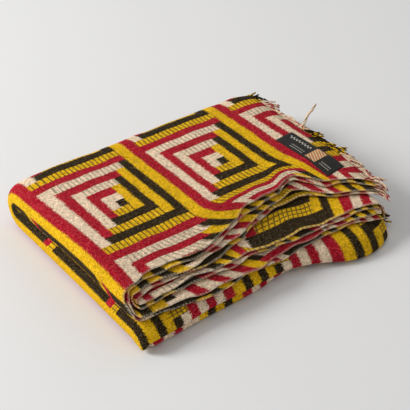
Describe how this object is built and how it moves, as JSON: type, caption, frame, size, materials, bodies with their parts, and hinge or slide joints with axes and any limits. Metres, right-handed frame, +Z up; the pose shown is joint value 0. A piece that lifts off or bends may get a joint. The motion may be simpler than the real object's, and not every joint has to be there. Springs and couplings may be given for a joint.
{
  "type": "travel rug",
  "caption": "Woven wool travel rug, folded into a neat rectangular stack with its fringed ends on one side and its selvages in wavy steps along the front; a sewn label lies on top.",
  "frame": {"origin": "on the floor, under the middle of the folded rug's box", "axes": "+X along the warp of the top layer, from the folded end to the fringed end; +Y towards the last fold, away from the open front; +Z up"},
  "size_m": [0.4606, 0.3818, 0.0807],
  "materials": {
    "rug_wool": "brushed",
    "fringe_wool": "twisted",
    "label_ribbon": "woven satin"
  },
  "bodies": {
    "root": {"rug_cloth": "rug_wool", "fringe_first_top": "fringe_wool", "fringe_first_back_high": "fringe_wool", "fringe_first_back_low": "fringe_wool", "fringe_first_floor": "fringe_wool", "fringe_last_top": "fringe_wool", "fringe_last_back_high": "fringe_wool", "fringe_last_back_low": "fringe_wool", "fringe_last_floor": "fringe_wool", "label": "label_ribbon"}
  },
  "joints": []
}
